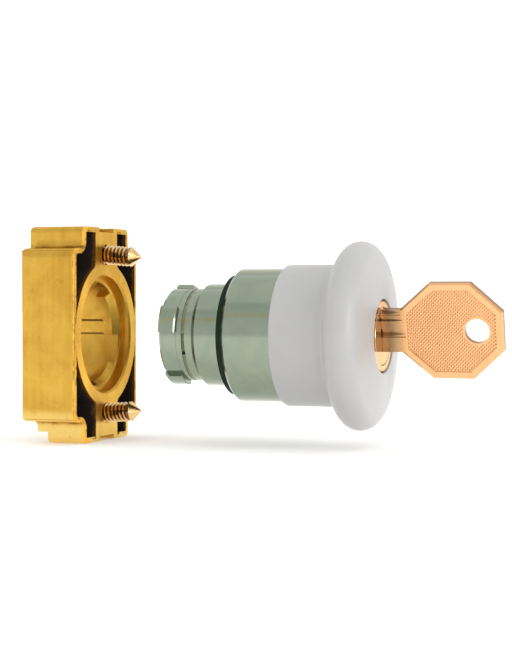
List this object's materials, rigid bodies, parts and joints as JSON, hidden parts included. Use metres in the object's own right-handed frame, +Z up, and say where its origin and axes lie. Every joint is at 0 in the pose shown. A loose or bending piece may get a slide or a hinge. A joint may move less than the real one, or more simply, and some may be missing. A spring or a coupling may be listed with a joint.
{
  "type": "key release mushroom pushbutton",
  "caption": "Panel pushbutton head with a mushroom cap released by a key in its middle, chromed threadless barrel, rubber gasket, and a die cast bayonet fixing collar with pointed clamp screws.",
  "frame": {"origin": "on the button's axis at the front plane of the panel, where the gasket seats", "axes": "+X along the axis from the panel to the key, +Z up, +Y away from the side that the picture shows"},
  "size_m": [0.1029, 0.0402, 0.0474],
  "materials": {
    "chrome": "bright chromed die casting",
    "rubber": "black moulded rubber",
    "black_plastic": "black moulded nylon",
    "light_grey": "light grey semi-gloss moulding",
    "spring_steel": "drawn spring wire and strip",
    "turned_steel": "turned, zinc plated",
    "spring_brass": "tarnished spring brass",
    "polished_brass": "polished",
    "key_brass": "stamped and satin polished",
    "yellow_zinc": "yellow passivated zinc die casting",
    "screw_brass": "yellow passivated, bright thread"
  },
  "bodies": {
    "head": {"bezel_barrel": "chrome", "panel_gasket": "rubber", "guide_bush": "black_plastic", "bush_ring": "spring_steel", "collar_latch_ring": "spring_brass", "latch_spring": "spring_steel", "plunger_seal": "rubber"},
    "mushroom": {"mushroom_cap": "light_grey", "plunger": "turned_steel", "return_spring": "spring_steel", "stop_ring": "spring_steel", "pusher": "black_plastic", "release_pins": "spring_steel", "lock_housing": "polished_brass", "lock_nut": "turned_steel"},
    "plug": {"lock_plug": "polished_brass", "wafer_tumblers": "polished_brass", "lock_cam": "turned_steel", "cam_screw": "turned_steel"},
    "key": {"key": "key_brass"},
    "collar": {"fixing_collar": "yellow_zinc"},
    "screw_top": {"clamp_screw_top": "screw_brass"},
    "screw_bottom": {"clamp_screw_bottom": "screw_brass"}
  },
  "joints": [
    {"name": "mushroom_push", "type": "slide", "parent": "head", "child": "mushroom", "axis": [1, 0, 0], "range_m": [-0.006, 0], "stiffness_N_per_m": 900, "springref_m": 0.003, "deforming": ["return_spring"]},
    {"name": "key_turn", "type": "hinge", "parent": "mushroom", "child": "plug", "pos_m": [0.02, 0, 0], "axis": [-1, 0, 0], "range_deg": [0, 45]},
    {"name": "key_pull", "type": "slide", "parent": "plug", "child": "key", "axis": [1, 0, 0], "range_m": [0, 0.026]},
    {"name": "collar_slide", "type": "slide", "parent": "head", "child": "collar", "axis": [1, 0, 0], "range_m": [0, 0.0265]},
    {"name": "screw_top_drive", "type": "slide", "parent": "collar", "child": "screw_top", "axis": [0.9969, 0, -0.0785], "range_m": [-0.008, 0]},
    {"name": "screw_bottom_drive", "type": "slide", "parent": "collar", "child": "screw_bottom", "axis": [0.9969, 0, 0.0785], "range_m": [-0.008, 0]}
  ]
}
